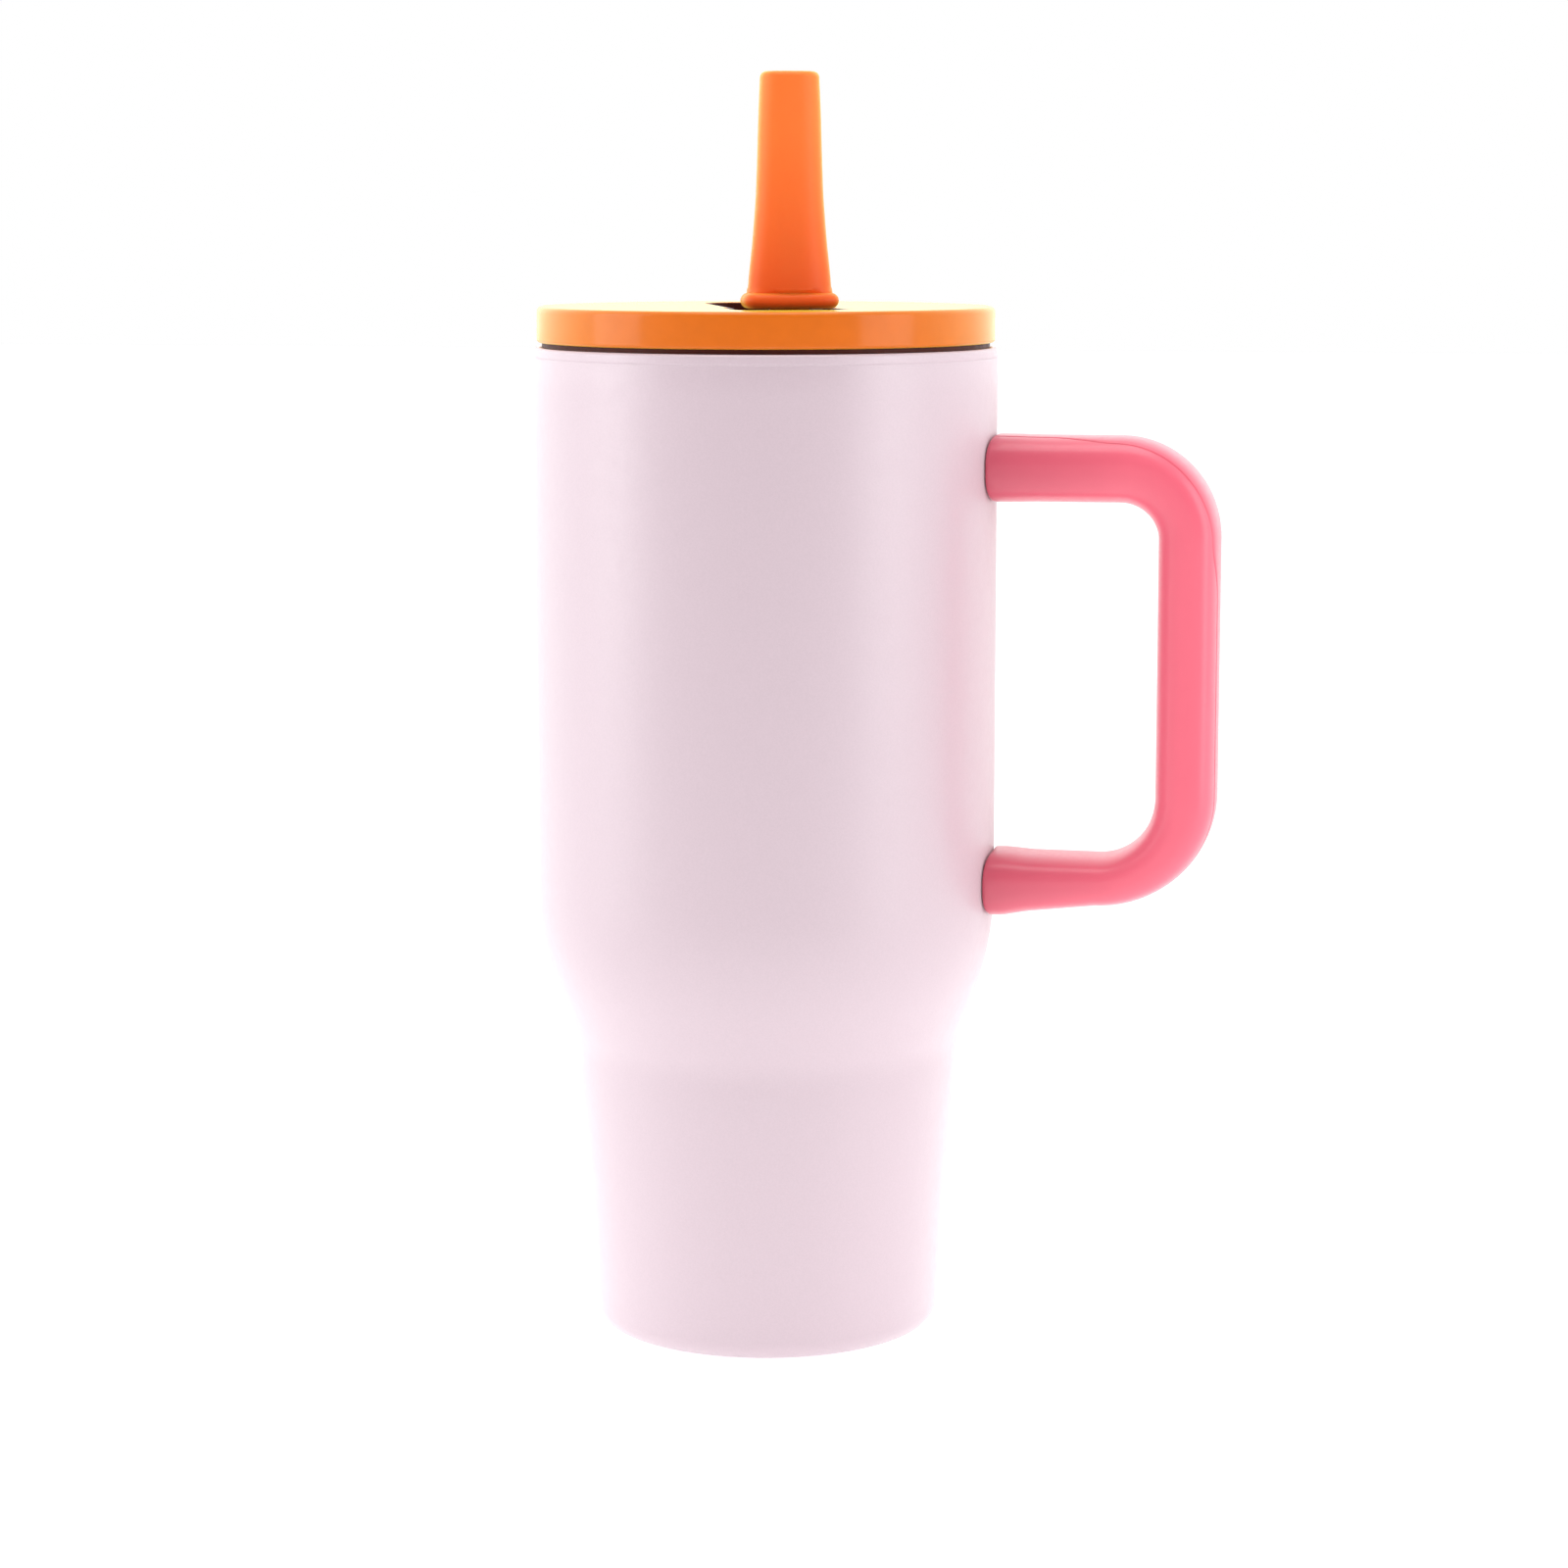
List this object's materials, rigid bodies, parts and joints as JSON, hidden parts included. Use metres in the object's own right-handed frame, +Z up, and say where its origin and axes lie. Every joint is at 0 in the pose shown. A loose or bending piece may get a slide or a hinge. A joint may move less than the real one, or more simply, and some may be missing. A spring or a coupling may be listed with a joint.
{
  "type": "insulated tumbler with lid",
  "caption": "Double-walled tumbler with a cup-holder taper, side handle, push-in lid and a drinking spout that folds into a slot; a straw reaches to the floor.",
  "frame": {"origin": "on the cup's axis in the plane of the foot ring that it stands on", "axes": "+Z up along the cup's axis, +X towards the handle, spout near -Y"},
  "size_m": [0.1484, 0.1, 0.273],
  "materials": {
    "shell_powder_coat": "satin powder coat, pale lavender pink",
    "liner_steel": "brushed, bare",
    "foil": "thin copper-coloured foil",
    "base_steel": "brushed, bare",
    "getter_metal": "sintered, matte",
    "sealing_glass": "fused bead",
    "bracket_steel": "bare",
    "core_plastic": "moulded",
    "grip_soft": "soft-touch, satin",
    "screw_steel": "bare",
    "plug_soft": "soft-touch",
    "gasket_silicone": "satin silicone",
    "cap_plastic": "smooth, semi-gloss",
    "lid_dark": "fine matte",
    "pin_steel": "polished",
    "seal_silicone": "clear-white silicone",
    "straw_plastic": "clear",
    "barrel_plastic": "semi-gloss",
    "mouth_silicone": "satin silicone"
  },
  "bodies": {
    "cup": {"outer_shell": "shell_powder_coat", "inner_liner": "liner_steel", "reflective_foil": "foil", "base_plate": "base_steel", "getter": "getter_metal", "vacuum_seal": "sealing_glass", "upper_bracket": "bracket_steel", "lower_bracket": "bracket_steel", "handle_core": "core_plastic", "handle_grip": "grip_soft", "handle_screws": "screw_steel", "screw_plugs": "plug_soft"},
    "gasket_ring": {"lid_gasket": "gasket_silicone"},
    "lid": {"lid_cap": "cap_plastic", "lid_core": "lid_dark", "hinge_pins": "pin_steel", "spout_seal": "seal_silicone", "vent_valve": "seal_silicone", "straw_adapter": "seal_silicone", "straw": "straw_plastic"},
    "spout": {"spout_barrel": "barrel_plastic", "mouthpiece": "mouth_silicone"}
  },
  "joints": [
    {"name": "lid_lift", "type": "slide", "parent": "cup", "child": "gasket_ring", "axis": [0, 0, 1], "range_m": [0, 0.21]},
    {"name": "lid_turn", "type": "hinge", "parent": "gasket_ring", "child": "lid", "pos_m": [0, 0, 0.209], "axis": [0, 0, 1], "continuous": true},
    {"name": "spout_flip", "type": "hinge", "parent": "lid", "child": "spout", "pos_m": [0.00968, -0.02574, 0.218], "axis": [-0.9361, -0.3518, 0], "range_deg": [0, 90]}
  ]
}
